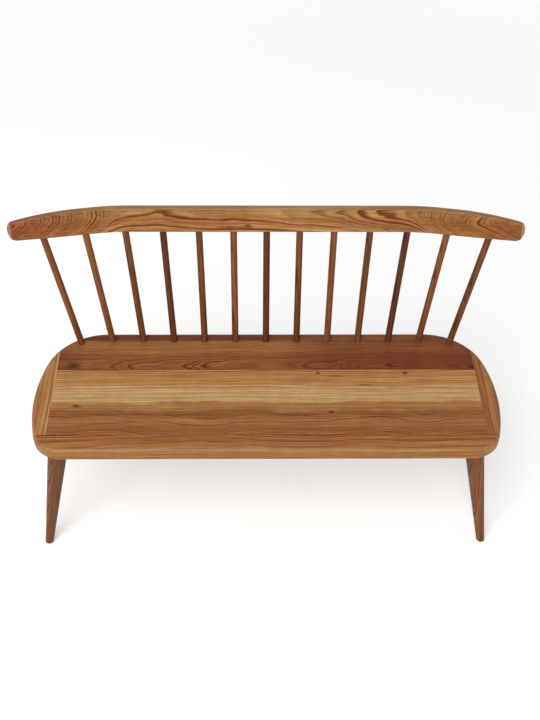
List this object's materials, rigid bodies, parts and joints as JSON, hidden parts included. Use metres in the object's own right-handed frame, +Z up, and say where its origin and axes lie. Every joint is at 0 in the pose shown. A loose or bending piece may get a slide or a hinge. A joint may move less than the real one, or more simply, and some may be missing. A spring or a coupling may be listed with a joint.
{
  "type": "deacons bench",
  "caption": "Wooden bench with a long solid seat, splayed round tapered legs and a leaning back of fanned plain spindles under a rail swept forward at both ends.",
  "frame": {"origin": "on the floor, in the middle of the bench's footprint as its outermost points mark it", "axes": "+Z up, X along the bench, -Y towards the front where the sitter's legs are, so the back leans towards +Y"},
  "size_m": [1.232, 0.4692, 0.8103],
  "materials": {
    "rail_wood": "oiled satin",
    "spindle_wood": "oiled satin",
    "light_seat_wood": "oiled satin",
    "brown_seat_wood": "oiled satin",
    "dark_seat_wood": "oiled satin",
    "leg_wood": "oiled satin",
    "tongue_wood": "bare"
  },
  "bodies": {
    "root": {"crest_rail": "rail_wood", "spindle_01": "spindle_wood", "spindle_02": "spindle_wood", "spindle_03": "spindle_wood", "spindle_04": "spindle_wood", "spindle_05": "spindle_wood", "spindle_06": "spindle_wood", "spindle_07": "spindle_wood", "spindle_08": "spindle_wood", "spindle_09": "spindle_wood", "spindle_10": "spindle_wood", "spindle_11": "spindle_wood", "spindle_12": "spindle_wood", "spindle_13": "spindle_wood", "seat_back_strip": "dark_seat_wood", "seat_rear_board": "dark_seat_wood", "seat_middle_board": "light_seat_wood", "seat_fore_board": "brown_seat_wood", "seat_front_board": "brown_seat_wood", "end_cap_left": "light_seat_wood", "end_cap_right": "brown_seat_wood", "leg_front_left": "leg_wood", "leg_front_right": "leg_wood", "leg_rear_left": "leg_wood", "leg_rear_right": "leg_wood", "cap_tongue_left": "tongue_wood", "cap_tongue_right": "tongue_wood"}
  },
  "joints": []
}
